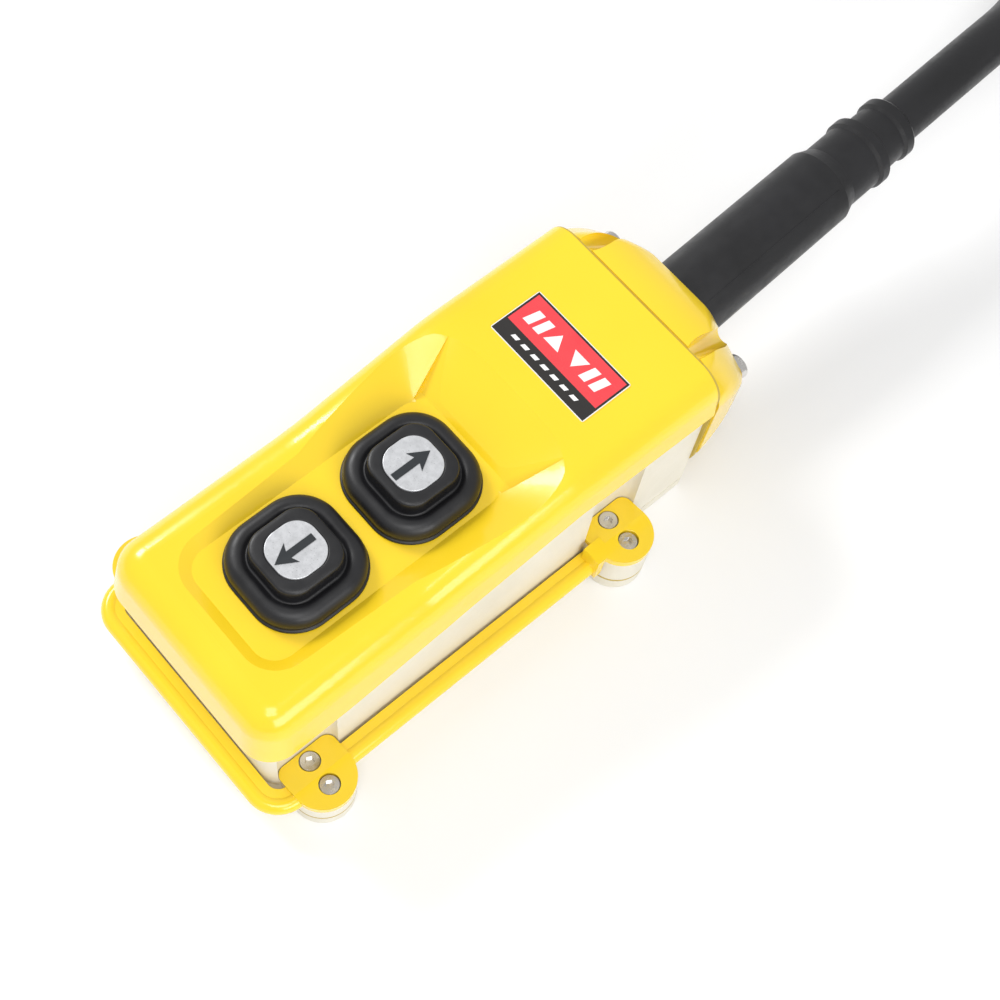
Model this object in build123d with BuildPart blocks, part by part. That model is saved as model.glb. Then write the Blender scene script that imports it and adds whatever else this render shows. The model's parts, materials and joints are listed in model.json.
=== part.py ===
"""Two-button pendant control station for a hoist, lying on its back.

Millimetres, real size. X runs across the body, Y along it towards the cable, Z up out of the
button face. The surface it rests on is Z = 0. The buttons sit at Y = +-button_pitch / 2.
"""

import os
from math import cos, radians, sin

from build123d import *

os.makedirs("parts", exist_ok=True)

# ---- driving dimensions -------------------------------------------------
rear_z = 5.5  # thickness of the rear cover
seal_t = 1.0  # thickness of the flat seals
foot_z = rear_z + seal_t  # underside of the housing
flange_z = 9.3  # top of the housing's foot flange
plan_z = 39.0  # height at which the body outline is drawn
draft = 7.0  # draft of the moulded walls, in degrees
low_half = 35.7  # half width of the button end, at plan_z
high_half = 37.6  # half width of the cable end, at plan_z
end_y = -58.7  # button end of the body, at plan_z
seam_y = 102.0  # plane in which body and gland cap meet
face_z = 65.5  # raised face with the label
well_z = 55.8  # floor of the button well
wall = 2.6  # moulded wall thickness
crown_r = 9.0  # rounding of the cover's upper edges
corner_r = 9.6  # upright corners of the body
inner_half = 26.5  # half width of the hollow in the housing

button_pitch = 39.4
travel = 3.5
boot_half = 17.5
plate_half = 7.6

lug_x = 40.0
lug_r = 9.5
lug_low_y = -42.8
lug_high_y = 69.0
lug_low_top = 12.3  # top of the housing's low lugs
lug_high_top = 17.3  # top of the housing's high lugs
lug_plate = 2.7  # thickness of the guard frame's lugs
lug_ridge_x = 39.2  # ridge from which a lug's top slopes down to the body
lug_slope = 1.7
screw_in_x = 34.2
screw_out_x = 42.8

bead_r = 2.4
bead_z = 12.0
bead_x = 39.9
bead_end_y = -59.9
bead_corner = 8.0

plate_z = 18.0  # underside of the switch plate
plate_t = 2.0
plate_screw_x = 21.5
boss_x = 23.5
plate_screw_ys = (-34.0, 42.0)
clamp_y = 84.0
clamp_len = 8.0
clamp_z = 24.0  # underside of the cable clamp's bar

gland_z = 37.0
gland_screw_x = 27.0
gland_screw_z = 42.0

cable_d = 16.0
core_d = 12.0
core_start = -44.0  # where the stripped core ends inside the housing
coil_r = 88.0
coil_x = 50.0
coil_y = 480.0

axis_start = Vector(0, 118, 36.5)
axis_dir = Vector(-0.035, 1, 0.08).normalized()
side_dir = Vector(1, 0.035, 0).normalized()


def along(distance):
    """Point on the cable's axis, this far past the gland cap's mouth."""
    return axis_start + axis_dir * distance


def plane_across(distance):
    """Plane square to the cable's axis."""
    return Plane(origin=along(distance), x_dir=side_dir, z_dir=axis_dir)


# plane that holds the cable's axis as its Y direction, for turned shapes
axis_plane = Plane(origin=axis_start, x_dir=side_dir, z_dir=side_dir.cross(axis_dir))
cable_axis = Axis(axis_start, axis_dir)


def side_slab(points, half, soft=0):
    """Solid with this outline in the YZ plane, half this wide each way in X.

    A soft radius rounds the gentle corners between the button end and the label."""
    with BuildPart() as slab:
        with BuildSketch(Plane.YZ) as side:
            with BuildLine():
                Polyline(*points, close=True)
            make_face()
            if soft:
                fillet(side.vertices().filter_by_position(Axis.X, -60, 70), soft)
        extrude(amount=half, both=True)
    return slab.part


def body_block(inset, low, high):
    """Drafted block on the body outline, this far inside it, between two heights."""
    with BuildPart() as block:
        for level_z in (low, high):
            lean = (level_z - plan_z) * sin(radians(draft)) / cos(radians(draft))
            near = low_half - inset - lean
            far = high_half - inset - lean
            start = end_y + inset + lean
            with BuildSketch(Plane.XY.offset(level_z)) as plan:
                with BuildLine():
                    Polyline(
                        (-near, start),
                        (near, start),
                        (near, 8),
                        (far, 56),
                        (far, 130),
                        (-far, 130),
                        (-far, 56),
                        (-near, 8),
                        close=True,
                    )
                make_face()
                fillet(plan.vertices().filter_by_position(Axis.Y, -20, 70), 200)
                fillet(plan.vertices().sort_by(Axis.Y)[0:2], max(corner_r - inset, 3))
        loft(ruled=True)
    return block.part


part_line = [(-90, 38.5), (-30, 39.5), (5, 42.5), (52, 51.5), (seam_y, 49.5)]
crown = [(seam_y, face_z), (50, face_z), (0, 58.8), (-90, 56.5)]


def lug_pair(y, grow=0):
    """Sketch of the two round lugs at this Y, with square shoulders towards the body."""
    half = lug_r + grow
    with BuildSketch() as lugs:
        for side in (-1, 1):
            with Locations((side * lug_x, y)):
                Circle(half)
            with Locations((side * (lug_x - half / 2), y)):
                Rectangle(half, 2 * half)
        inner = lugs.vertices().filter_by(lambda v: abs(v.X) < lug_x - half + 0.1)
        fillet(inner, 3 + grow)
    return lugs.sketch


def lug_screw_places(y):
    """Centres of the two screws of the lug pair at this Y, both sides."""
    return [(side * x, y) for side in (-1, 1) for x in (screw_in_x, screw_out_x)]


lug_ys = (lug_low_y, lug_high_y)
screw_places = lug_screw_places(lug_low_y) + lug_screw_places(lug_high_y)


def foot_outline(inset):
    """Sketch of the foot with its four lugs."""
    half = 38.5 - inset
    tail = 34.8 - inset
    with BuildSketch() as foot:
        with BuildLine():
            Polyline(
                (-half, -58.5 + inset),
                (half, -58.5 + inset),
                (half, lug_high_y),
                (tail, lug_high_y),
                (tail, seam_y - inset),
                (-tail, seam_y - inset),
                (-tail, lug_high_y),
                (-half, lug_high_y),
                close=True,
            )
        make_face()
        fillet(foot.vertices().sort_by(Axis.Y)[0:2], bead_corner - 1.5)
        for y in lug_ys:
            add(lug_pair(y))
    return foot.sketch


# ---- front cover --------------------------------------------------------
with BuildPart() as ramp_cut:
    with BuildSketch(Plane.XY.offset(well_z - 1)):
        with BuildLine():
            Polyline((-18.5, 36), (18.5, 36), (24.5, 54), (-24.5, 54), close=True)
        make_face()
    extrude(amount=14)
    ramp_side = [(36, well_z), (39, well_z), (52.4, face_z), (54, face_z + 1.2), (54, 72), (36, 72)]
    add(side_slab(ramp_side, 60), mode=Mode.INTERSECT)

with BuildPart() as well_cut:
    with BuildSketch(Plane.XY.offset(well_z)):
        with Locations((0, -2.2)):
            RectangleRounded(37.6, 81.6, 7)
    extrude(amount=14, taper=-60)

with BuildPart() as front_cover:
    add(body_block(0, 18, 75))
    add(side_slab(part_line + crown, 60, 25), mode=Mode.INTERSECT)
    top = front_cover.faces().filter_by(lambda f: f.normal_at().Z > 0.9)
    rim = top.edges().filter_by(lambda e: abs(e.center().X) > 15 and e.center().Y < seam_y - 1)
    fillet(rim + top.edges().filter_by(lambda e: e.center().Y < -40), crown_r)
    add(well_cut.part, mode=Mode.SUBTRACT)
    add(ramp_cut.part, mode=Mode.SUBTRACT)
    inner_side = [(-60, 0), (seam_y + 9, 0), (seam_y + 9, 62.7), (56, 62.7), (50, 53.0), (-60, 53.0)]
    hollow = body_block(wall, 18, 75).intersect(side_slab(inner_side, 60))
    hollow_end = Box(80, 10, 80, align=(Align.CENTER, Align.MIN, Align.MIN), mode=Mode.PRIVATE)
    add(hollow - Pos(0, seam_y - wall, 0) * hollow_end, mode=Mode.SUBTRACT)
    for y in (-button_pitch / 2, button_pitch / 2):
        with BuildSketch(Plane.XY.offset(50)):
            with Locations((0, y)):
                RectangleRounded(22, 22, 5)
        extrude(amount=10, mode=Mode.SUBTRACT)
front_cover.part.label = "front_cover"

# ---- seal between cover and housing --------------------------------------
def below_part_line(drop):
    """Everything up to this far under the parting line."""
    line = [(y, z - drop) for y, z in reversed(part_line)]
    return side_slab([(-90, 0), (seam_y, 0)] + line, 60, 25)


with BuildPart() as front_seal:
    add(body_block(2.6, 16, 60))
    add(below_part_line(0), mode=Mode.INTERSECT)
    add(below_part_line(seal_t), mode=Mode.SUBTRACT)
    with BuildSketch(Plane.XY):
        with Locations((0, (end_y + seam_y) / 2 - 1)):
            RectangleRounded(2 * inner_half, seam_y - end_y - 14, 5)
    extrude(amount=60, mode=Mode.SUBTRACT)
front_seal.part.label = "front_seal"

# ---- housing --------------------------------------------------------------
# height, half width at the button end and at the cable end, start of the wall in Y
housing_levels = ((foot_z, 34.9, 34.9, -55.2), (56.0, 32.4, 33.9, -54.2))
with BuildPart() as rear_housing:
    for z, near, far, start in housing_levels:
        with BuildSketch(Plane.XY.offset(z)) as level:
            with BuildLine():
                Polyline(
                    (-near, start),
                    (near, start),
                    (near, 8),
                    (far, 56),
                    (far, seam_y),
                    (-far, seam_y),
                    (-far, 56),
                    (-near, 8),
                    close=True,
                )
            make_face()
            fillet(level.vertices().sort_by(Axis.Y)[0:2], 7)
    loft()
    add(below_part_line(seal_t), mode=Mode.INTERSECT)
    with BuildSketch(Plane.XY.offset(foot_z)):
        add(foot_outline(0.3))
    extrude(amount=flange_z - foot_z)
    for y, top_z in ((lug_low_y, lug_low_top), (lug_high_y, lug_high_top)):
        with BuildSketch(Plane.XY.offset(foot_z)):
            add(lug_pair(y))
        extrude(amount=top_z - foot_z)
        with BuildSketch(Plane.XY.offset(top_z)):
            add(lug_pair(y, 0.3))
        extrude(amount=50, mode=Mode.SUBTRACT)
        with Locations(*[(x, y, top_z) for x, y in lug_screw_places(y)]):
            CounterBoreHole(1.85, 3.1, 0.8, depth=20)
    with BuildSketch(Plane.XY.offset(foot_z)):
        with Locations((0, (end_y + seam_y) / 2 - 1)):
            RectangleRounded(2 * inner_half, seam_y - end_y - 14, 5)
    extrude(amount=60, mode=Mode.SUBTRACT)
    for side in (-1, 1):
        for y in plate_screw_ys:
            with Locations((side * boss_x, y, foot_z)):
                Box(8, 8, plate_z - foot_z, align=(Align.CENTER, Align.CENTER, Align.MIN))
            with Locations((side * plate_screw_x, y, plate_z)):
                Hole(1.55, depth=10)
        with Locations((side * boss_x, clamp_y, foot_z)):
            Box(8, clamp_len, clamp_z - foot_z, align=(Align.CENTER, Align.CENTER, Align.MIN))
    with BuildSketch(plane_across(-26)):
        Circle(core_d / 2 + 0.5)
    extrude(amount=20, mode=Mode.SUBTRACT)
    with Locations(*[Plane.XZ.offset(-seam_y) * Pos(x, gland_screw_z, 0) for x in (-gland_screw_x, gland_screw_x)]):
        Hole(2.05, depth=5)
rear_housing.part.label = "rear_housing"

# ---- rear cover and its seal ----------------------------------------------
with BuildPart() as rear_seal:
    with BuildSketch(Plane.XY.offset(rear_z)):
        add(foot_outline(0.2))
        with Locations((0, (end_y + seam_y) / 2 - 1)):
            RectangleRounded(2 * inner_half, seam_y - end_y - 14, 5, mode=Mode.SUBTRACT)
        with Locations(*screw_places):
            Circle(1.85, mode=Mode.SUBTRACT)
    extrude(amount=seal_t)
rear_seal.part.label = "rear_seal"

with BuildPart() as rear_cover:
    with BuildSketch():
        add(foot_outline(0))
    extrude(amount=rear_z)
    fillet(rear_cover.faces().sort_by(Axis.Z)[0].edges(), 1.0)
    with BuildSketch(Plane.XY.offset(2.2)):
        with Locations((0, (end_y + seam_y) / 2 - 1)):
            RectangleRounded(2 * inner_half - 2, seam_y - end_y - 16, 5)
    extrude(amount=rear_z, mode=Mode.SUBTRACT)
    with Locations(*[(x, y, rear_z) for x, y in screw_places]):
        Hole(1.8, depth=4.3)
rear_cover.part.label = "rear_cover"

# ---- guard frame ------------------------------------------------------------
with BuildPart() as guard_frame:
    with BuildLine() as guard_path:
        FilletPolyline(
            (bead_x, lug_high_y, bead_z),
            (bead_x, bead_end_y, bead_z),
            (-bead_x, bead_end_y, bead_z),
            (-bead_x, lug_high_y, bead_z),
            radius=bead_corner,
        )
    with BuildSketch(Plane(origin=(bead_x, lug_high_y, bead_z), x_dir=(-1, 0, 0), z_dir=(0, -1, 0))):
        Circle(bead_r)
        with BuildLine():
            Polyline((0, 1.9), (4.4, 0.2), (4.4, -1.4), (0, -1.9), close=True)
        make_face()
    sweep()
    for y, base_z in ((lug_low_y, lug_low_top), (lug_high_y, lug_high_top)):
        with BuildSketch(Plane.XY.offset(flange_z)):
            add(lug_pair(y))
        extrude(amount=base_z - flange_z, mode=Mode.SUBTRACT)
        with BuildSketch(Plane.XY.offset(base_z)):
            add(lug_pair(y))
        extrude(amount=lug_plate)
        lug_top = base_z + lug_plate
        for side in (-1, 1):
            with BuildSketch(Plane.XZ.offset(-y)):
                with BuildLine():
                    slope = [(lug_ridge_x, lug_top), (30, lug_top - lug_slope), (30, lug_top + 1)]
                    Polyline(*[(side * x, z) for x, z in slope], close=True)
                make_face()
            extrude(amount=lug_r + 1, both=True, mode=Mode.SUBTRACT)
        for x, screw_y in lug_screw_places(y):
            with Locations((x, screw_y, lug_top)):
                Hole(3.1, depth=lug_plate)
    for side in (-1, 1):
        with Locations((side * bead_x, lug_high_y - lug_r - 1.4, bead_z - bead_r)):
            Box(6.4, 2.6, 10.4, align=(Align.CENTER, Align.CENTER, Align.MIN))
        with Locations((side * bead_x, lug_high_y - lug_r - 2.7, lug_high_top)):
            Box(6.4, 6, lug_plate, align=(Align.CENTER, Align.MIN, Align.MIN))
guard_frame.part.label = "guard_frame"


def lug_screw_group(y, top_z):
    """Socket screws of one pair of lugs: head in its counterbore, shank down to the rear cover."""
    with BuildPart() as screws:
        for x, screw_y in lug_screw_places(y):
            with BuildSketch(Plane.XY.offset(top_z - 0.8)):
                with Locations((x, screw_y)):
                    Circle(2.75)
            extrude(amount=2.5)
            with BuildSketch(Plane.XY.offset(1.5)):
                with Locations((x, screw_y)):
                    Circle(1.75)
            extrude(amount=top_z - 2.3)
            with BuildSketch(Plane.XY.offset(top_z + 1.7)):
                with Locations((x, screw_y)):
                    RegularPolygon(1.45, 6)
            extrude(amount=-1.6, mode=Mode.SUBTRACT)
    return screws.part


lug_screws_short = lug_screw_group(lug_low_y, lug_low_top)
lug_screws_long = lug_screw_group(lug_high_y, lug_high_top)

# ---- gland cap with its seal and screws --------------------------------------
cap_start = seam_y + seal_t
cap_rim_y = 121.0

with BuildPart() as gland_seal:
    with BuildSketch(Plane.XZ.offset(-cap_start)) as seal_face:
        with Locations((0, 39.1)):
            RectangleRounded(71, 51, 9)
        with Locations((0, gland_z)):
            Circle(19.5, mode=Mode.SUBTRACT)
        with Locations((-gland_screw_x, gland_screw_z), (gland_screw_x, gland_screw_z)):
            Circle(2.3, mode=Mode.SUBTRACT)
    extrude(amount=seal_t)
gland_seal.part.label = "gland_seal"

# distance along Y, half width, top, bottom, and what is cut off each corner in X and Z
cap_levels = (
    (cap_start, 36.2, 65.2, 13.0, 9.0, 10.0),
    (cap_start + 9, 34.8, 62.8, 14.6, 13.0, 11.5),
    (cap_rim_y, 31.6, 56.9, 17.1, 19.0, 13.5),
)
with BuildPart() as gland_cap:
    for level_y, half, top_z, low_z, cut_x, cut_z in cap_levels:
        with BuildSketch(Plane.XZ.offset(-level_y)) as level:
            with BuildLine():
                Polyline(
                    (half - cut_x, top_z),
                    (half, top_z - cut_z),
                    (half, low_z + cut_z),
                    (half - cut_x, low_z),
                    (cut_x - half, low_z),
                    (-half, low_z + cut_z),
                    (-half, top_z - cut_z),
                    (cut_x - half, top_z),
                    close=True,
                )
            make_face()
            fillet(level.vertices(), 8)
    loft()
    for side in (-1, 1):
        groove_start = Vector(side * 22.5, cap_start, 67.2)
        groove_end = Vector(side * 20.5, cap_rim_y, 53.4)
        groove = Plane(origin=groove_start, z_dir=groove_end - groove_start)
        with BuildSketch(groove):
            Circle(3)
        extrude(amount=30, mode=Mode.SUBTRACT)
    with BuildSketch(Plane.XZ.offset(-cap_start)):
        with Locations((0, gland_z)):
            Circle(19.5)
    extrude(amount=-13, mode=Mode.SUBTRACT)
    with BuildSketch(Plane.XZ.offset(-cap_start)):
        with Locations((-gland_screw_x, gland_screw_z), (gland_screw_x, gland_screw_z)):
            Circle(2.3)
    extrude(amount=-30, mode=Mode.SUBTRACT)
    with BuildSketch(plane_across(-10)):
        Circle(13.4)
    extrude(amount=30, mode=Mode.SUBTRACT)
gland_cap.part.label = "gland_cap"

with BuildPart() as gland_screws:
    for x in (-gland_screw_x, gland_screw_x):
        with BuildSketch(Plane.XZ.offset(-cap_rim_y)):
            with Locations((x, gland_screw_z)):
                Circle(3.9)
        extrude(amount=-2.9)
        with BuildSketch(Plane.XZ.offset(-cap_rim_y)):
            with Locations((x, gland_screw_z)):
                Circle(2.0)
        extrude(amount=24)
    heads = gland_screws.faces().sort_by(Axis.Y)[-2:]
    fillet(heads.edges(), 1.0)
    for x in (-gland_screw_x, gland_screw_x):
        with BuildSketch(Plane.XZ.offset(-(cap_rim_y + 2.9))):
            with Locations((x, gland_screw_z)):
                Rectangle(4.2, 0.9)
                Rectangle(0.9, 4.2)
        extrude(amount=1.6, mode=Mode.SUBTRACT)
gland_screws.part.label = "gland_screws"

# ---- strain relief -------------------------------------------------------------
sheath_start = 98.0  # where the cable's sheath ends inside the strain relief
relief_end = 104.0
relief_profile = [
    (core_d / 2 + 0.05, -14.0),
    (17.6, -14.0),
    (17.6, -9.0),
    (13.1, -9.0),
    (12.8, 70.0),
    (11.6, 73.0),
    (11.1, 74.5),
    (11.1, 86.0),
    (12.0, 87.0),
    (12.0, 90.0),
    (9.9, 91.5),
    (9.7, 99.0),
    (10.6, 100.0),
    (10.6, 103.0),
    (9.8, relief_end),
    (cable_d / 2 + 0.05, relief_end),
    (cable_d / 2 + 0.05, sheath_start),
    (core_d / 2 + 0.05, sheath_start),
]
with BuildPart() as strain_relief:
    with BuildSketch(axis_plane):
        with BuildLine():
            Polyline(*relief_profile, close=True)
        make_face()
    revolve(axis=cable_axis)
strain_relief.part.label = "strain_relief"

# ---- cable: stripped core inside, sheathed lead outside --------------------------
with BuildPart() as cable_core:
    with BuildSketch(plane_across(core_start)):
        Circle(core_d / 2)
    extrude(amount=sheath_start - core_start)
cable_core.part.label = "cable_core"

coil_entry_y = coil_y - 56
coil_layers = 3
coil_top_z = cable_d / 2 + (coil_layers - 1) * cable_d
lead_start = along(sheath_start)
lead_bend = along(140)
lead_points = [
    (lead_start.X, lead_start.Y, lead_start.Z),
    (lead_bend.X, lead_bend.Y, lead_bend.Z),
    (-9, 299, 41),
    (coil_x - coil_r, coil_entry_y - 58, cable_d / 2),
    (coil_x - coil_r, coil_entry_y, cable_d / 2),
]
plug_r = 17.0
tail_x = coil_x + coil_r
tail_points = [
    (tail_x, coil_entry_y, coil_top_z),
    (tail_x, coil_entry_y - 38, coil_top_z),
    (tail_x, coil_entry_y - 108, plug_r),
    (tail_x, coil_entry_y - 146, plug_r),
]


def lead_tube(points, diameter):
    """Round tube along straight runs that are joined by tangent arcs."""
    pieces = []
    runs = [Vector(*b) - Vector(*a) for a, b in zip(points, points[1:])]
    last = Vector(*points[0])
    for corner, one, two in zip(points[1:], runs, runs[1:]):
        reach = 0.45 * min(one.length, two.length)
        enter = Vector(*corner) - one.normalized() * reach
        leave = Vector(*corner) + two.normalized() * reach
        pieces.append(Edge.make_line(last, enter))
        pieces.append(Edge.make_tangent_arc(enter, one.normalized(), leave))
        last = leave
    pieces.append(Edge.make_line(last, Vector(*points[-1])))
    path = Wire(pieces)
    with BuildPart() as tube:
        with BuildSketch(Plane(origin=path @ 0, z_dir=path % 0)):
            Circle(diameter / 2)
        sweep(path=path)
    return tube.part


cable = lead_tube(lead_points, cable_d)
cable_tail = lead_tube(tail_points, cable_d)

with BuildPart() as cable_coil:
    with BuildSketch(Plane.XY):
        with Locations((coil_x, coil_y)):
            Circle(coil_r + cable_d / 2)
            Circle(coil_r - cable_d / 2, mode=Mode.SUBTRACT)
    extrude(amount=coil_layers * cable_d)
    fillet(cable_coil.edges().filter_by(GeomType.CIRCLE), 5.0)
    for x, z in ((coil_x - coil_r, cable_d / 2), (tail_x, coil_top_z)):
        with BuildSketch(Plane.XZ.offset(-coil_entry_y)):
            with Locations((x, z)):
                Circle(cable_d / 2 - 0.1)
        extrude(amount=-(coil_y - coil_entry_y))
cable_coil.part.label = "cable_coil"

# ---- connector on the far end --------------------------------------------------
plug_end = coil_entry_y - 146
plug_plane = Plane(origin=(tail_x, plug_end, plug_r), x_dir=(1, 0, 0), z_dir=(0, -1, 0))
plug_profile = [(0, 0), (10, 0), (11, 3), (12.5, 20), (plug_r - 0.6, 26), (plug_r - 0.6, 52), (0, 52)]
with BuildPart() as plug_body:
    with BuildSketch(Plane(origin=plug_plane.origin, x_dir=(1, 0, 0), z_dir=(0, 0, -1))):
        with BuildLine():
            Polyline(*plug_profile, close=True)
        make_face()
    revolve(axis=Axis(plug_plane.origin, (0, 1, 0)))
    with BuildSketch(plug_plane.offset(52)):
        Circle(14)
    extrude(amount=-4, mode=Mode.SUBTRACT)
plug_body.part.label = "plug_body"

with BuildPart() as plug_shell:
    with BuildSketch(plug_plane.offset(52)):
        Circle(plug_r)
        Circle(15.4, mode=Mode.SUBTRACT)
    extrude(amount=18)
plug_shell.part.label = "plug_shell"

plug_pins_at = [(0, 0)] + [(8.5 * cos(radians(a)), 8.5 * sin(radians(a))) for a in (30, 102, 174, 246, 318)]
with BuildPart() as plug_insert:
    with BuildSketch(plug_plane.offset(48)):
        Circle(14)
        with Locations(*plug_pins_at):
            Circle(1.5, mode=Mode.SUBTRACT)
    extrude(amount=8)
plug_insert.part.label = "plug_insert"

with BuildPart() as plug_pins:
    for place in plug_pins_at:
        with BuildSketch(plug_plane.offset(48)):
            with Locations(place):
                Circle(1.5)
        extrude(amount=18)
    fillet(plug_pins.edges().filter_by(GeomType.CIRCLE).filter_by_position(Axis.Y, plug_end - 70, plug_end - 65), 0.7)
plug_pins.part.label = "plug_pins"

# ---- inside: switch plate, cable clamp -------------------------------------------
with BuildPart() as switch_plate:
    with BuildSketch(Plane.XY.offset(plate_z)):
        with Locations((0, sum(plate_screw_ys) / 2)):
            RectangleRounded(51, 90, 4)
        for x in (-plate_screw_x, plate_screw_x):
            for y in plate_screw_ys:
                with Locations((x, y)):
                    Circle(1.7, mode=Mode.SUBTRACT)
    extrude(amount=plate_t)
switch_plate.part.label = "switch_plate"

with BuildPart() as plate_screws:
    for x in (-plate_screw_x, plate_screw_x):
        for y in plate_screw_ys:
            with Locations((x, y, plate_z + plate_t)):
                Cylinder(2.8, 2.0, align=(Align.CENTER, Align.CENTER, Align.MIN))
            with Locations((x, y, plate_z - 9)):
                Cylinder(1.5, 9 + plate_t, align=(Align.CENTER, Align.CENTER, Align.MIN))
plate_screws.part.label = "plate_screws"

core_cut = Cylinder(core_d / 2, 60).moved(plane_across(-32).location)
with BuildPart() as clamp_bar:
    with Locations((0, clamp_y, clamp_z)):
        Box(2 * inner_half - 0.4, clamp_len, 9.5, align=(Align.CENTER, Align.CENTER, Align.MIN))
    with Locations((-15, clamp_y, clamp_z + 9.5), (15, clamp_y, clamp_z + 9.5)):
        Hole(1.55, depth=8)
    add(core_cut, mode=Mode.SUBTRACT)
clamp_bar.part.label = "clamp_bar"

with BuildPart() as clamp_strap:
    with BuildSketch(Plane.XZ.offset(-(clamp_y + clamp_len / 2 - 1))):
        with Locations((0, 33.9)):
            Circle(8.2)
        with Locations((0, 34.9)):
            Rectangle(38, 2)
    extrude(amount=clamp_len - 2)
    with Locations((0, clamp_y, clamp_z + 9.7)):
        Box(60, 20, 30, align=(Align.CENTER, Align.CENTER, Align.MAX), mode=Mode.SUBTRACT)
    with Locations((-15, clamp_y, 40), (15, clamp_y, 40)):
        Hole(1.7, depth=20)
    add(core_cut, mode=Mode.SUBTRACT)
clamp_strap.part.label = "clamp_strap"

with BuildPart() as clamp_screws:
    for x in (-15, 15):
        with Locations((x, clamp_y, 35.9)):
            Cylinder(2.8, 2.0, align=(Align.CENTER, Align.CENTER, Align.MIN))
        with Locations((x, clamp_y, 27)):
            Cylinder(1.5, 8.9, align=(Align.CENTER, Align.CENTER, Align.MIN))
clamp_screws.part.label = "clamp_screws"

# ---- label ------------------------------------------------------------------------
label_y = 72.6
with BuildPart() as label_plate:
    with BuildSketch(Plane.XY.offset(face_z)):
        with Locations((0, label_y)):
            RectangleRounded(38, 18.4, 0.6)
    extrude(amount=0.3)
label_plate.part.label = "label_plate"

# ---- push buttons ---------------------------------------------------------------
block_z = plate_z + plate_t
ledge_z = block_z + 13.4
block_top = 46.0
spring_z = block_z + 2.0
bridge_z = 38.0
pad_top = 66.0
plate_top = 66.3


def make_boot(y):
    """Rubber boot: soft square ring on the well floor, raised pad in its middle."""
    with BuildPart() as boot:
        with BuildSketch(Plane.XY.offset(well_z)):
            with Locations((0, y)):
                RectangleRounded(2 * boot_half, 2 * boot_half, 13)
        extrude(amount=6.2)
        fillet(boot.faces().sort_by(Axis.Z)[-1].edges(), 3.6)
        with BuildSketch(Plane.XY.offset(well_z + 6.2)):
            with Locations((0, y)):
                RectangleRounded(25.4, 25.4, 8.4)
                RectangleRounded(21.4, 21.4, 6.4, mode=Mode.SUBTRACT)
        extrude(amount=-1.2, mode=Mode.SUBTRACT)
        with BuildSketch(Plane.XY.offset(well_z + 4)):
            with Locations((0, y)):
                RectangleRounded(21.4, 21.4, 6.4)
        extrude(amount=pad_top - well_z - 4)
        fillet(boot.faces().sort_by(Axis.Z)[-1].edges(), 1.0)
        with BuildSketch(Plane.XY.offset(pad_top)):
            with Locations((0, y)):
                RectangleRounded(2 * plate_half, 2 * plate_half, 6)
        extrude(amount=-0.9, mode=Mode.SUBTRACT)
        with BuildSketch(Plane.XY.offset(well_z)):
            with Locations((0, y)):
                RectangleRounded(26, 26, 8)
        extrude(amount=3.6, mode=Mode.SUBTRACT)
        with BuildSketch(Plane.XY.offset(well_z)):
            with Locations((0, y)):
                RectangleRounded(17.4, 17.4, 4)
        extrude(amount=7.6, mode=Mode.SUBTRACT)
    return boot.part


def make_retainer(y):
    """Frame that holds a boot from inside, with a collar through the cover's square hole."""
    with BuildPart() as retainer:
        with BuildSketch(Plane.XY.offset(50.4)):
            with Locations((0, y)):
                RectangleRounded(30, 30, 6)
        extrude(amount=2.5)
        with BuildSketch(Plane.XY.offset(50.4)):
            with Locations((0, y)):
                RectangleRounded(21.6, 21.6, 4.8)
        extrude(amount=well_z - 50.5)
        with BuildSketch(Plane.XY.offset(50.4)):
            with Locations((0, y)):
                RectangleRounded(18, 18, 4)
        extrude(amount=8, mode=Mode.SUBTRACT)
    return retainer.part


def make_plunger(y):
    """Rigid head under the pad and the stem that reaches into the contact block."""
    with BuildPart() as plunger:
        with BuildSketch(Plane.XY.offset(59.5)):
            with Locations((0, y)):
                RectangleRounded(17, 17, 3.8)
        extrude(amount=well_z + 7.5 - 59.5)
        with BuildSketch(Plane.XY.offset(bridge_z + 1)):
            with Locations((0, y)):
                Circle(4.3)
        extrude(amount=59.5 - bridge_z - 1)
    return plunger.part


def make_inlay(y):
    """Satin plate set into the pad."""
    with BuildPart() as inlay:
        with BuildSketch(Plane.XY.offset(pad_top - 0.8)):
            with Locations((0, y)):
                RectangleRounded(2 * plate_half - 0.1, 2 * plate_half - 0.1, 5.95)
        extrude(amount=plate_top - pad_top + 0.8)
        fillet(inlay.faces().sort_by(Axis.Z)[-1].edges(), 0.25)
    return inlay.part


def make_arrow(y, tail, head):
    """Arrow printed on the plate, from its tail to its tip, along Y."""
    way = 1 if head > tail else -1
    with BuildPart() as arrow:
        with BuildSketch(Plane.XY.offset(plate_top)):
            with BuildLine():
                Polyline(
                    (-1.1, y + tail),
                    (1.1, y + tail),
                    (1.1, y + head - way * 4.6),
                    (3.3, y + head - way * 5.6),
                    (0, y + head),
                    (-3.3, y + head - way * 5.6),
                    (-1.1, y + head - way * 4.6),
                    close=True,
                )
            make_face()
        extrude(amount=0.15)
    return arrow.part


def make_bridge(y):
    """Moving contact bar under the stem."""
    with BuildPart() as bridge:
        with Locations((0, y, bridge_z)):
            Box(16, 4, 1, align=(Align.CENTER, Align.CENTER, Align.MIN))
    return bridge.part


def make_spring(y):
    """Return spring between the block's floor and the contact bar."""
    height = bridge_z - spring_z - 1.2
    with BuildPart() as spring:
        with BuildLine(Plane.XY.offset(spring_z + 0.6)) as coil:
            Helix(pitch=height / 5, height=height, radius=3, center=(0, y, 0))
        with BuildSketch(Plane(origin=coil.line @ 0, z_dir=coil.line % 0)):
            Circle(0.45)
        sweep()
    return spring.part


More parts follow.
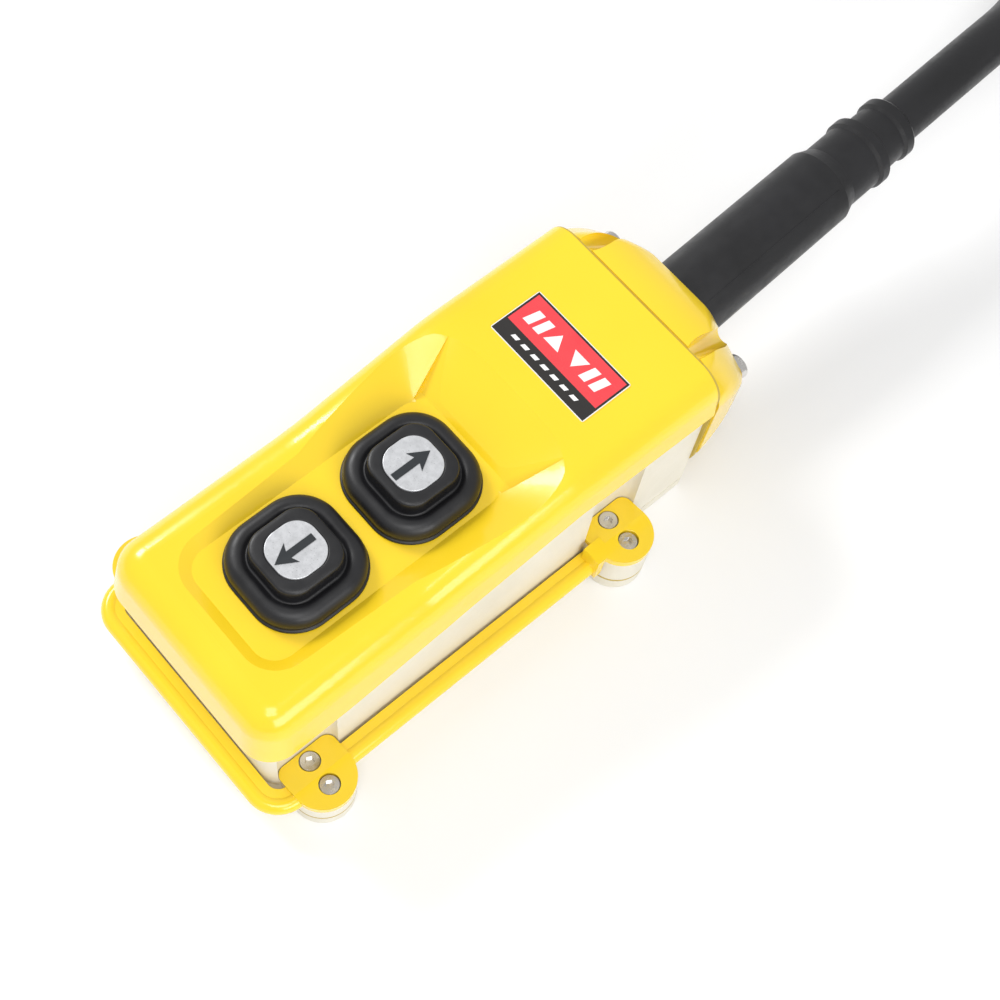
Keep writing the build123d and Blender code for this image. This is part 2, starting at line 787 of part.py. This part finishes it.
def make_block(y):
    """Contact block: lower box with terminal ledges, upper box around the stem."""
    with BuildPart() as block:
        with Locations((0, y, block_z)):
            Box(38, 26, ledge_z - block_z, align=(Align.CENTER, Align.CENTER, Align.MIN))
        with Locations((0, y, ledge_z)):
            Box(24, 26, block_top - ledge_z, align=(Align.CENTER, Align.CENTER, Align.MIN))
        with Locations((0, y, spring_z)):
            Box(18.4, 14, 44 - spring_z, align=(Align.CENTER, Align.CENTER, Align.MIN), mode=Mode.SUBTRACT)
        with Locations((0, y, ledge_z)):
            Box(25, 5.2, 1.1, align=(Align.CENTER, Align.CENTER, Align.MIN), mode=Mode.SUBTRACT)
        with Locations((0, y, block_top)):
            Hole(4.6, depth=4)
        with Locations((-15.5, y, ledge_z), (15.5, y, ledge_z)):
            Hole(1.3, depth=6)
    return block.part


def make_contacts(y):
    """Two fixed contact strips that lie on the ledges and reach under the moving bar."""
    with BuildPart() as contacts:
        for side in (-1, 1):
            with Locations((side * 11.7, y, ledge_z)):
                Box(12.6, 5, 1, align=(Align.CENTER, Align.CENTER, Align.MIN))
        with Locations((-15.5, y, ledge_z + 1), (15.5, y, ledge_z + 1)):
            Hole(1.4, depth=1)
    return contacts.part


def make_terminal_screws(y):
    """Screws that hold the conductors on the contact strips."""
    with BuildPart() as terminals:
        for x in (-15.5, 15.5):
            with Locations((x, y, ledge_z + 1)):
                Cylinder(2.3, 1.6, align=(Align.CENTER, Align.CENTER, Align.MIN))
            with Locations((x, y, ledge_z - 5)):
                Cylinder(1.25, 6, align=(Align.CENTER, Align.CENTER, Align.MIN))
            with Locations((x, y, ledge_z + 2.6)):
                Box(5, 0.7, 1.2, mode=Mode.SUBTRACT)
    return terminals.part


core_end = along(core_start - 1)


def make_wires(y, run_z):
    """The two conductors of one block, from the cable's core along both walls."""
    with BuildPart() as wires:
        for side in (-1, 1):
            with BuildLine() as route:
                FilletPolyline(
                    (side * 3.2, core_end.Y, run_z),
                    (side * 3.2, core_end.Y - 6, run_z),
                    (side * 22.0, core_end.Y - 20, run_z),
                    (side * 22.0, y + 4, run_z),
                    (side * 21.5, y, ledge_z + 1.2),
                    (side * 18.1, y, ledge_z + 1.2),
                    radius=1.5,
                )
            with BuildSketch(Plane(origin=route.line @ 0, z_dir=route.line % 0)):
                Circle(1.1)
            sweep(path=route.line)
    return wires.part


named = {item.part.label: item.part for item in (
    front_cover, front_seal, rear_housing, rear_seal, rear_cover, guard_frame,
    gland_seal, gland_cap, gland_screws, strain_relief, cable_core, cable_coil,
    plug_body, plug_shell, plug_insert, plug_pins, switch_plate, plate_screws,
    clamp_bar, clamp_strap, clamp_screws, label_plate,
)}
named["lug_screws_short"] = lug_screws_short
named["lug_screws_long"] = lug_screws_long
named["cable"] = cable
named["cable_tail"] = cable_tail
for button, y, arrow_span, wire_z in (
    ("up", button_pitch / 2, (-7.0, 5.8), 30.5),
    ("down", -button_pitch / 2, (5.8, -7.0), 37.5),
):
    named["boot_" + button] = make_boot(y)
    named["retainer_" + button] = make_retainer(y)
    named["plunger_" + button] = make_plunger(y)
    named["inlay_" + button] = make_inlay(y)
    named["arrow_" + button] = make_arrow(y, *arrow_span)
    named["bridge_" + button] = make_bridge(y)
    named["spring_" + button] = make_spring(y)
    named["block_" + button] = make_block(y)
    named["contacts_" + button] = make_contacts(y)
    named["terminals_" + button] = make_terminal_screws(y)
    named["wires_" + button] = make_wires(y, wire_z)
for name, solid in named.items():
    solid.label = name
    export_step(solid, "parts/" + name + ".step")
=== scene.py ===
"""Looks for the two-button pendant control station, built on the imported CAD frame. Metres."""

import json
from math import cos, pi, radians, sin

import bpy
from mathutils import Matrix, Vector


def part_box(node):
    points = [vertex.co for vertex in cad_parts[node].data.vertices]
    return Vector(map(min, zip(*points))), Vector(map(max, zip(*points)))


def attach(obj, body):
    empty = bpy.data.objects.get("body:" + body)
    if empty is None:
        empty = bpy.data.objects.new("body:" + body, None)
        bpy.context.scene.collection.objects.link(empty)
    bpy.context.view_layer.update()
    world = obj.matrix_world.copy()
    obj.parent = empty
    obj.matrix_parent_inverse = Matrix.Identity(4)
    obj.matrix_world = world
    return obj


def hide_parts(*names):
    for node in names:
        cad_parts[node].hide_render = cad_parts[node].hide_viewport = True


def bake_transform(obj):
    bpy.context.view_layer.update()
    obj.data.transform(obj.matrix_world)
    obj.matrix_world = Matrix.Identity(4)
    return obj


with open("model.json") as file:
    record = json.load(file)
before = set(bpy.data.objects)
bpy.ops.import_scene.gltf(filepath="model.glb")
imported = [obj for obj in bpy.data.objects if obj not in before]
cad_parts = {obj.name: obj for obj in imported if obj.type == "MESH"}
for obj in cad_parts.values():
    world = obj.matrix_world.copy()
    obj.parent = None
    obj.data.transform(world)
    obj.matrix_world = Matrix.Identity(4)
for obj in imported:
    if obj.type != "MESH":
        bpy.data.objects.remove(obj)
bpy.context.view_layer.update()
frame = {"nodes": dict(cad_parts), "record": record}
nodes = frame["nodes"]
BUTTONS = ("up", "down")
MM_PER_M = 1000


# ---- small helpers ----------------------------------------------------------------------
NOISE_SPAN = (0.3, 0.7)  # nearly all of a noise texture's values lie in here
NOISE_ROUGHNESS = 0.55
MIX_A, MIX_B, MIX_RESULT = 6, 7, 2  # the colour sockets of a Mix node


class Shader:
    """A node material: a Principled shader with helpers for what feeds it."""

    def __init__(self, name, roughness, **values):
        self.material = bpy.data.materials.new(name)
        self.material.use_nodes = True
        self.tree = self.material.node_tree
        self.surface = self.tree.nodes["Principled BSDF"]
        self.surface.inputs["Roughness"].default_value = roughness
        for key, value in values.items():
            self.surface.inputs[key.replace("_", " ")].default_value = value
        self.place = self.tree.nodes.new("ShaderNodeTexCoord").outputs["Object"]

    def node(self, kind, **settings):
        node = self.tree.nodes.new(kind)
        for key, value in settings.items():
            setattr(node, key, value)
        return node

    def link(self, source, target):
        self.tree.links.new(source, target)

    def noise(self, scale, detail=4, stretch=None):
        """Noise value with this many features per metre; stretch scales them per axis."""
        texture = self.node("ShaderNodeTexNoise")
        texture.inputs["Scale"].default_value = scale
        texture.inputs["Detail"].default_value = detail
        texture.inputs["Roughness"].default_value = NOISE_ROUGHNESS
        place = self.place
        if stretch:
            mapping = self.node("ShaderNodeMapping")
            mapping.inputs["Scale"].default_value = stretch
            self.link(self.place, mapping.inputs["Vector"])
            place = mapping.outputs["Vector"]
        self.link(place, texture.inputs["Vector"])
        return texture.outputs["Fac"]

    def cells(self, scale):
        """Distance to the edge of the nearest cell, with this many cells per metre."""
        texture = self.node("ShaderNodeTexVoronoi", feature="DISTANCE_TO_EDGE")
        texture.inputs["Scale"].default_value = scale
        self.link(self.place, texture.inputs["Vector"])
        return texture.outputs["Distance"]

    def ramp(self, value, tones):
        """Colour that wanders between two tones with this noise; a plain number is a grey."""
        ramp = self.node("ShaderNodeValToRGB")
        for point, position, tone in zip(ramp.color_ramp.elements, NOISE_SPAN, tones):
            point.position = position
            grey = isinstance(tone, (int, float))
            point.color = (tone, tone, tone, 1) if grey else (*tone, 1)
        self.link(value, ramp.inputs["Fac"])
        return ramp.outputs["Color"]

    def paint(self, base, mask, colour):
        """The base colour, with another one where the mask is 1."""
        mix = self.node("ShaderNodeMix", data_type="RGBA")
        self.link(mask, mix.inputs["Factor"])
        self.link(base, mix.inputs[MIX_A])
        mix.inputs[MIX_B].default_value = (*colour, 1)
        return mix.outputs[MIX_RESULT]

    def colour(self, source):
        self.link(source, self.surface.inputs["Base Color"])

    def rough(self, value, low, high):
        """Roughness that wanders between two values."""
        spread = self.node("ShaderNodeMapRange")
        spread.inputs["To Min"].default_value = low
        spread.inputs["To Max"].default_value = high
        spread.inputs["From Min"].default_value = NOISE_SPAN[0]
        spread.inputs["From Max"].default_value = NOISE_SPAN[1]
        self.link(value, spread.inputs["Value"])
        self.link(spread.outputs["Result"], self.surface.inputs["Roughness"])

    def bump(self, height, depth, strength):
        """Adds relief of this depth in metres on top of any earlier one."""
        bump = self.node("ShaderNodeBump")
        bump.inputs["Distance"].default_value = depth
        bump.inputs["Strength"].default_value = strength
        normal = self.surface.inputs["Normal"]
        if normal.is_linked:
            self.link(normal.links[0].from_socket, bump.inputs["Normal"])
        self.link(height, bump.inputs["Height"])
        self.link(bump.outputs["Normal"], normal)


def add_object(name, data):
    added = bpy.data.objects.new(name, data)
    bpy.context.collection.objects.link(added)
    return added


def ring_mesh(name, rings):
    """Smooth skin over rings of points, all with the same count; the last one is capped."""
    count = len(rings[0])
    points = [point for ring in rings for point in ring]
    faces = []
    for low in range(0, (len(rings) - 1) * count, count):
        for i in range(count):
            j = (i + 1) % count
            faces.append((low + i, low + j, low + count + j, low + count + i))
    faces.append(tuple(range((len(rings) - 1) * count, len(rings) * count)))
    mesh = bpy.data.meshes.new(name)
    mesh.from_pydata(points, [], faces)
    mesh.polygons.foreach_set("use_smooth", [True] * len(mesh.polygons))
    return add_object(name, mesh)


CORNER_STEPS = 16


def rounded_square(centre, half, corner, z):
    """Ring of points round a square with rounded corners."""
    ring = []
    for quarter in range(4):
        turn = quarter * pi / 2
        middle = Vector((cos(turn + pi / 4), sin(turn + pi / 4))) * (half - corner) * 2**0.5
        for step in range(CORNER_STEPS + 1):
            angle = turn + step / CORNER_STEPS * pi / 2
            ring.append((
                centre[0] + middle.x + corner * cos(angle),
                centre[1] + middle.y + corner * sin(angle),
                z,
            ))
    return ring


# ---- camera -----------------------------------------------------------------------------
AZIMUTH = radians(36.66)
ELEVATION = radians(64.89)
ROLL = radians(13.25)
CAMERA_PLACE = Vector((0.1357, -0.1216, 0.4709))
FOCAL = 1.698  # focal length over the image's width
SENSOR = 36  # mm
CLIP_START = 0.01


def make_camera():
    data = bpy.data.cameras.new("camera")
    data.sensor_width = SENSOR
    data.lens = SENSOR * FOCAL
    data.clip_start = CLIP_START
    camera = add_object("camera", data)
    back = Vector((
        sin(AZIMUTH) * cos(ELEVATION),
        -cos(AZIMUTH) * cos(ELEVATION),
        sin(ELEVATION),
    ))
    level = Vector((0, 0, 1)).cross(back).normalized()
    upright = back.cross(level)
    right = level * cos(ROLL) + upright * sin(ROLL)
    top = upright * cos(ROLL) - level * sin(ROLL)
    turn = Matrix((right, top, back)).transposed().to_4x4()
    camera.matrix_world = Matrix.Translation(CAMERA_PLACE) @ turn
    bpy.context.scene.camera = camera


make_camera()


# ---- cable ------------------------------------------------------------------------------
AXIS_SIDE = 0.035  # the sleeve's axis drifts this much to -X and climbs this much, per unit of Y
AXIS_CLIMB = 0.08
AXIS_START = Vector((0, 0.118, 0.0365))  # at the gland cap's mouth
AXIS_DIR = Vector((-AXIS_SIDE, 1, AXIS_CLIMB)).normalized()

CABLE_D = 0.016
LEAD_START = 0.098  # along the axis, hidden in the sleeve's mouth
LEAD_BEND = 0.140  # along the axis, where the lead starts to come down
LEAD_DROP = (-0.009, 0.299, 0.041)
COIL_R = 0.088
COIL_X = 0.050
COIL_Y = 0.480
COIL_LAYERS = 3
COIL_TURNS = 2.5
TURN_POINTS = 16  # control points in one turn
COIL_ENTRY = 0.056  # the lead joins the coil, and leaves it, this far before its middle
LANDING = 0.058  # the lead reaches the floor this far before it joins the coil
PLUG_R = 0.017
TAIL_LEVEL = 0.038  # how far the tail runs on level, then down to the plug, then into it
TAIL_DOWN = 0.108
TAIL_END = 0.146
CURVE_ORDER = 3
CURVE_STEPS = 12  # between two control points
CABLE_SIDES = 8  # bevel resolution


def along(distance):
    """Point on the strain relief's axis, this far past the gland's mouth."""
    return AXIS_START + AXIS_DIR * distance


def cable_route():
    """Control points from the strain relief, over the floor, round the coil, to the connector."""
    low = CABLE_D / 2
    high = low + (COIL_LAYERS - 1) * CABLE_D
    entry = COIL_Y - COIL_ENTRY
    near = COIL_X - COIL_R
    far = COIL_X + COIL_R
    points = [tuple(along(LEAD_START)), tuple(along(LEAD_BEND)), LEAD_DROP]
    points += [(near, entry - LANDING, low), (near, entry, low)]
    total = int(COIL_TURNS * TURN_POINTS)
    for step in range(total + 1):
        turned = 2 * pi * step / TURN_POINTS
        height = low + (high - low) * step / total
        points.append((
            COIL_X - COIL_R * cos(turned),
            COIL_Y + COIL_R * sin(turned),
            height,
        ))
    points += [(far, entry, high), (far, entry - TAIL_LEVEL, high)]
    points += [(far, entry - TAIL_DOWN, PLUG_R), (far, entry - TAIL_END, PLUG_R)]
    return points


def make_cable():
    """The whole lead as one spline; its points' radius, not the bevel, gives its thickness."""
    route = cable_route()
    curve = bpy.data.curves.new("cable_lead", "CURVE")
    curve.dimensions = "3D"
    curve.bevel_depth = 1
    curve.bevel_resolution = CABLE_SIDES
    curve.resolution_u = CURVE_STEPS
    curve.use_fill_caps = True
    spline = curve.splines.new("NURBS")
    spline.points.add(len(route) - 1)
    for point, place in zip(spline.points, route):
        point.co = (*place, 1)
        point.radius = CABLE_D / 2
    spline.order_u = CURVE_ORDER
    spline.use_endpoint_u = True
    return add_object("cable_lead", curve)


cable_lead = make_cable()
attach(cable_lead, "station")
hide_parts("cable", "cable_coil", "cable_tail")


# ---- rubber boots -----------------------------------------------------------------------
# half width, corner radius and height above the well floor, in mm
BOOT_PROFILE = (
    (17.2, 12.8, 0.05), (17.5, 13.0, 0.1), (17.5, 13.0, 0.7), (17.35, 12.9, 0.95),
    (16.9, 12.5, 1.05), (16.8, 12.4, 1.3), (17.0, 12.5, 2.4), (16.9, 12.4, 3.6),
    (16.3, 11.9, 4.9), (15.2, 10.9, 5.8), (14.0, 9.9, 6.15), (13.0, 9.2, 6.1),
    (12.3, 8.6, 5.7), (11.9, 8.2, 5.2), (11.5, 7.6, 5.05), (11.0, 6.8, 5.2),
    (10.75, 6.5, 5.7), (10.7, 6.4, 6.6), (10.65, 6.4, 9.2), (10.45, 6.3, 9.8),
    (10.0, 6.1, 10.15), (8.6, 6.6, 10.2), (8.0, 6.3, 10.2), (7.75, 6.1, 10.15),
    (7.65, 6.0, 9.95), (7.62, 6.0, 9.35), (7.5, 5.9, 9.3), (4.0, 3.0, 9.3),
)


def make_boot(button):
    """Soft square bellows round the button, from the well floor up to the pad's recess."""
    low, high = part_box("boot_" + button)
    centre = ((low[0] + high[0]) / 2, (low[1] + high[1]) / 2)
    base = low[2]
    rings = [
        rounded_square(centre, half / MM_PER_M, corner / MM_PER_M, base + rise / MM_PER_M)
        for half, corner, rise in BOOT_PROFILE
    ]
    boot = ring_mesh("boot_skin_" + button, rings)
    smooth = boot.modifiers.new("smooth", "SUBSURF")
    smooth.levels = 1
    smooth.render_levels = 1
    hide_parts("boot_" + button)
    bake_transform(boot)
    return boot


boots = [make_boot(button) for button in BUTTONS]


# ---- return springs ---------------------------------------------------------------------
SPRING_TURNS = 5
SPRING_STEPS = 24  # rings of the wire per turn
WIRE_R = 0.00045
WIRE_SIDES = 10


def make_spring(button):
    """Coil of round wire between the block's floor and the contact bar."""
    low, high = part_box("spring_" + button)
    centre = Vector(((low[0] + high[0]) / 2, (low[1] + high[1]) / 2, 0))
    reach = (high[0] - low[0]) / 2 - WIRE_R
    first = low[2] + WIRE_R
    climb = high[2] - low[2] - 2 * WIRE_R
    rings = []
    for step in range(SPRING_TURNS * SPRING_STEPS + 1):
        turned = 2 * pi * step / SPRING_STEPS
        height = first + climb * step / (SPRING_TURNS * SPRING_STEPS)
        out = Vector((cos(turned), sin(turned), 0))
        middle = centre + out * reach + Vector((0, 0, height))
        ring = []
        for corner in range(WIRE_SIDES):
            angle = 2 * pi * corner / WIRE_SIDES
            spoke = out * cos(angle) + Vector((0, 0, sin(angle)))
            ring.append(tuple(middle + spoke * WIRE_R))
        rings.append(ring)
    spring = ring_mesh("spring_wire_" + button, rings)
    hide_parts("spring_" + button)
    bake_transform(spring)
    return spring


springs = [make_spring(button) for button in BUTTONS]


# ---- printed marks on the label, mould line on the sleeve -------------------------------
# places and outlines in mm, from the middle of the label's edge on the button side
BAR_PLACES = (-13.5, -9.5, 9.5, 13.5)
BAR_SHAPE = {"wide": 1.9, "narrow": 0.7, "bottom": 8.8, "top": 14.2}
DASH_PLACES = range(-12, 16, 4)
DASH_SHAPE = {"wide": 1.4, "narrow": 0.8, "bottom": 2.6, "top": 3.8}
TRIANGLES = ((-4.2, 9.2, 14.0), (4.2, 13.8, 9.0))  # place, base and tip
TRIANGLE_HALF = 3.0
INK_SUNK = 0.00005  # the print starts below the label's face and stands a little above it
INK_PROUD = 0.00003


def slanted(place, wide, narrow, bottom, top):
    """Outline of a bar that leans to the right."""
    return [
        (place - wide, bottom),
        (place + narrow, bottom),
        (place + wide, top),
        (place - narrow, top),
    ]


def make_label_marks():
    """Plain printed shapes: hoisting triangles between slanted bars, dashes in the strip below."""
    low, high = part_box("label_plate")
    middle = (low[0] + high[0]) / 2
    shapes = [slanted(place, **BAR_SHAPE) for place in BAR_PLACES]
    for place, base, tip in TRIANGLES:
        shapes.append([(place - TRIANGLE_HALF, base), (place + TRIANGLE_HALF, base), (place, tip)])
    shapes += [slanted(place, **DASH_SHAPE) for place in DASH_PLACES]
    points = []
    faces = []
    for shape in shapes:
        turning = sum(a[0] * b[1] - b[0] * a[1] for a, b in zip(shape, shape[1:] + shape[:1]))
        corners = shape if turning > 0 else shape[::-1]
        start = len(points)
        count = len(corners)
        for height in (high[2] - INK_SUNK, high[2] + INK_PROUD):
            for x, y in corners:
                points.append((middle + x / MM_PER_M, low[1] + y / MM_PER_M, height))
        faces.append(tuple(range(start + count, start + 2 * count)))
        for i in range(count):
            j = (i + 1) % count
            faces.append((start + i, start + j, start + count + j, start + count + i))
    mesh = bpy.data.meshes.new("label_marks")
    mesh.from_pydata(points, [], faces)
    marks = add_object("label_marks", mesh)
    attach(marks, "station")
    return marks


LINE_START = 0.004  # along the sleeve's axis
LINE_LENGTH = 0.064
LINE_STEPS = 24
SLEEVE_R = 0.0131
SLEEVE_TAPER = 0.0003  # lost from the radius over this span
SLEEVE_SPAN = 0.07
# section of the line: degrees round the sleeve from its top, and height over its skin
LINE_SECTION = ((37.2, -0.0006), (37.6, 0.0), (38.0, 0.00012), (38.4, 0.0), (38.8, -0.0006))


def make_sleeve_line():
    """Fine mould line that runs along the strain relief."""
    side = Vector((1, AXIS_SIDE, 0)).normalized()
    top = side.cross(AXIS_DIR)
    rings = []
    for step in range(LINE_STEPS + 1):
        distance = LINE_START + step / LINE_STEPS * LINE_LENGTH
        middle = along(distance)
        reach = SLEEVE_R - SLEEVE_TAPER * distance / SLEEVE_SPAN
        ring = []
        for turn, rise in LINE_SECTION:
            out = side * sin(radians(turn)) + top * cos(radians(turn))
            ring.append(tuple(middle + out * (reach + rise)))
        rings.append(ring)
    line = ring_mesh("sleeve_line", rings)
    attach(line, "station")
    return line


label_marks = make_label_marks()
sleeve_line = make_sleeve_line()


# ---- materials --------------------------------------------------------------------------
# darkest and lightest tone of a look
YELLOW = ((0.88, 0.60, 0.016), (0.92, 0.65, 0.022))
CREAM = ((0.72, 0.68, 0.57), (0.79, 0.75, 0.64))
RUBBER = ((0.005, 0.005, 0.006), (0.011, 0.011, 0.013))
LABEL_RED = ((0.76, 0.045, 0.06), (0.83, 0.06, 0.07))
PRINT_WHITE = (0.80, 0.87)
FLOOR_GREY = (0.89, 0.92)
METAL_SHADE = 0.8  # a metal's darkest tone, as a share of its colour
PLASTIC_SHADE = 0.85

LABEL_BLACK = (0.018, 0.016, 0.015)
# pale tone painted round the label's rim as a highlight
LABEL_RIM_HIGHLIGHT = (0.82, 0.82, 0.80)
STRIP_SHARE = 0.31  # of the label's height is the black strip
# the dark border is print; the thin pale band at the rim is a painted highlight
LABEL_BORDER_AND_HIGHLIGHT = ((0.0009, LABEL_BLACK), (0.00025, LABEL_RIM_HIGHLIGHT))  # width from the rim, colour


def darker(colour, share):
    return tuple(part * share for part in colour)


def yellow_plastic():
    look = Shader("yellow_gloss", roughness=0.2, Coat_Weight=0.35, Coat_Roughness=0.06)
    look.colour(look.ramp(look.noise(scale=14, detail=3), YELLOW))
    look.rough(look.noise(scale=60, detail=5), low=0.16, high=0.26)
    look.bump(look.noise(scale=240, detail=3), depth=0.00012, strength=0.25)
    look.bump(look.noise(scale=2600, detail=2), depth=0.000012, strength=0.5)
    return look.material


def cream_plastic():
    look = Shader("cream_grain", roughness=0.55)
    look.colour(look.ramp(look.noise(scale=30), CREAM))
    look.rough(look.noise(scale=400), low=0.45, high=0.62)
    look.bump(look.cells(scale=1500), depth=0.00014, strength=0.8)
    look.bump(look.noise(scale=3800, detail=3), depth=0.00006, strength=0.6)
    return look.material


def black_rubber():
    look = Shader("black_rubber", roughness=0.45)
    look.colour(look.ramp(look.noise(scale=45, detail=5), RUBBER))
    look.rough(look.noise(scale=220, detail=5), low=0.34, high=0.5)
    look.bump(look.noise(scale=1800), depth=0.00004, strength=0.5)
    look.bump(look.noise(scale=190, detail=3), depth=0.00012, strength=0.3)
    return look.material


def cable_rubber():
    look = Shader("cable_jacket", roughness=0.42)
    look.colour(look.ramp(look.noise(scale=60, detail=5, stretch=(1, 0.25, 1)), RUBBER))
    look.rough(look.noise(scale=300, detail=5), low=0.34, high=0.5)
    look.bump(look.noise(scale=900), depth=0.00006, strength=0.4)
    return look.material


def metal(name, colour, low, high, grain=900, metallic=1.0):
    look = Shader(name, roughness=low, Metallic=metallic)
    tones = (darker(colour, METAL_SHADE), colour)
    look.colour(look.ramp(look.noise(scale=grain / 4), tones))
    look.rough(look.noise(scale=grain), low, high)
    look.bump(look.noise(scale=grain * 2, detail=2), depth=0.00001, strength=0.4)
    return look.material


def plain_plastic(name, colour, low, high):
    look = Shader(name, roughness=low)
    tones = (darker(colour, PLASTIC_SHADE), colour)
    look.colour(look.ramp(look.noise(scale=80), tones))
    look.rough(look.noise(scale=300), low, high)
    look.bump(look.noise(scale=1200, detail=3), depth=0.00003, strength=0.4)
    return look.material


def label_film():
    """Red film with a black strip along the button side, a dark border and a pale rim painted as a
    highlight.
    """
    look = Shader("label_film", roughness=0.25, Coat_Weight=0.3, Coat_Roughness=0.1)
    low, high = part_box("label_plate")
    split = low[1] + (high[1] - low[1]) * STRIP_SHARE
    apart = look.node("ShaderNodeSeparateXYZ")
    look.link(look.place, apart.inputs["Vector"])

    def beyond(axis, limit, operation):
        test = look.node("ShaderNodeMath", operation=operation)
        look.link(apart.outputs[axis], test.inputs[0])
        test.inputs[1].default_value = limit
        return test.outputs[0]

    colour = look.ramp(look.noise(scale=90), LABEL_RED)
    colour = look.paint(colour, beyond("Y", split, "LESS_THAN"), LABEL_BLACK)
    # the last, thinnest edge paints a pale highlight round the label's rim
    for edge, border_ink_and_highlight in LABEL_BORDER_AND_HIGHLIGHT:
        for axis, limit, operation in (
            ("X", low[0] + edge, "LESS_THAN"), ("X", high[0] - edge, "GREATER_THAN"),
            ("Y", low[1] + edge, "LESS_THAN"), ("Y", high[1] - edge, "GREATER_THAN"),
        ):
            colour = look.paint(colour, beyond(axis, limit, operation), border_ink_and_highlight)
    look.colour(colour)
    look.rough(look.noise(scale=300), low=0.2, high=0.32)
    look.bump(look.noise(scale=500, detail=3), depth=0.00003, strength=0.3)
    return look.material


def printed_white():
    look = Shader("label_white", roughness=0.28)
    look.colour(look.ramp(look.noise(scale=200), PRINT_WHITE))
    look.rough(look.noise(scale=300), low=0.22, high=0.34)
    look.bump(look.noise(scale=900, detail=3), depth=0.00002, strength=0.3)
    return look.material


# colour, then the lowest and highest roughness
LOOKS = {
    "yellow_gloss": yellow_plastic(),
    "cream_grain": cream_plastic(),
    "seal_rubber": plain_plastic("seal_rubber", (0.52, 0.38, 0.05), 0.45, 0.6),
    "black_rubber": black_rubber(),
    "screw_steel": metal("screw_steel", (0.78, 0.76, 0.73), 0.14, 0.3),
    "satin_plate": metal(
        "satin_plate", (0.66, 0.67, 0.69), 0.26, 0.4, grain=2400, metallic=0.4
    ),
    "dark_print": plain_plastic("dark_print", (0.020, 0.024, 0.028), 0.3, 0.45),
    "label_film": label_film(),
    "contact_body": plain_plastic("contact_body", (0.03, 0.03, 0.032), 0.35, 0.5),
    "contact_brass": metal("contact_brass", (0.80, 0.60, 0.28), 0.2, 0.35),
    "steel_plate": metal("steel_plate", (0.62, 0.62, 0.63), 0.3, 0.45),
    "cable_jacket": cable_rubber(),
    "wire_grey": plain_plastic("wire_grey", (0.32, 0.33, 0.35), 0.35, 0.5),
    "plug_metal": metal("plug_metal", (0.62, 0.63, 0.65), 0.24, 0.38),
}


def dress(piece, look):
    piece.data.materials.clear()
    piece.data.materials.append(look)


for part in frame["record"]["subparts"]:
    dress(nodes[part["node"]], LOOKS[part["material_slot"]])
dress(cable_lead, LOOKS["cable_jacket"])
dress(sleeve_line, LOOKS["black_rubber"])
dress(label_marks, printed_white())
for spring in springs:
    dress(spring, LOOKS["screw_steel"])
for boot in boots:
    dress(boot, LOOKS["black_rubber"])


# ---- floor and light --------------------------------------------------------------------
FLOOR_REACH = 4.0
BODY_MIDDLE = (0, 0.03, 0.03)  # the lamps aim at it
# name, place, width and depth, watts; none mirrors a level face into the camera
LAMPS = (
    ("key", (-0.95, -0.10, 0.85), (0.45, 0.35), 8),
    ("fill", (0.95, -0.15, 0.6), (0.7, 0.5), 5),
    ("top", (0.45, -0.35, 1.5), (0.7, 0.7), 7),
)
WORLD_STRENGTH = 0.6


def make_floor():
    mesh = bpy.data.meshes.new("floor")
    mesh.from_pydata(
        [
            (-FLOOR_REACH, -FLOOR_REACH, 0),
            (FLOOR_REACH, -FLOOR_REACH, 0),
            (FLOOR_REACH, FLOOR_REACH, 0),
            (-FLOOR_REACH, FLOOR_REACH, 0),
        ],
        [],
        [(0, 1, 2, 3)],
    )
    floor = add_object("floor", mesh)
    look = Shader("floor_pale", roughness=0.7)
    look.colour(look.ramp(look.noise(scale=3, detail=3), FLOOR_GREY))
    dress(floor, look.material)


def make_lamp(name, place, size, watts):
    data = bpy.data.lights.new(name, "AREA")
    data.shape = "RECTANGLE"
    data.size, data.size_y = size
    data.energy = watts
    lamp = add_object(name, data)
    lamp.location = place
    aim = Vector(BODY_MIDDLE) - Vector(place)
    lamp.rotation_euler = aim.to_track_quat("-Z", "Y").to_euler()


def make_world():
    world = bpy.data.worlds.new("studio")
    world.use_nodes = True
    backdrop = world.node_tree.nodes["Background"]
    backdrop.inputs["Color"].default_value = (1, 1, 1, 1)
    backdrop.inputs["Strength"].default_value = WORLD_STRENGTH
    bpy.context.scene.world = world


make_floor()
for lamp in LAMPS:
    make_lamp(*lamp)
make_world()
bpy.context.scene.view_settings.view_transform = "Standard"

bpy.context.view_layer.update()
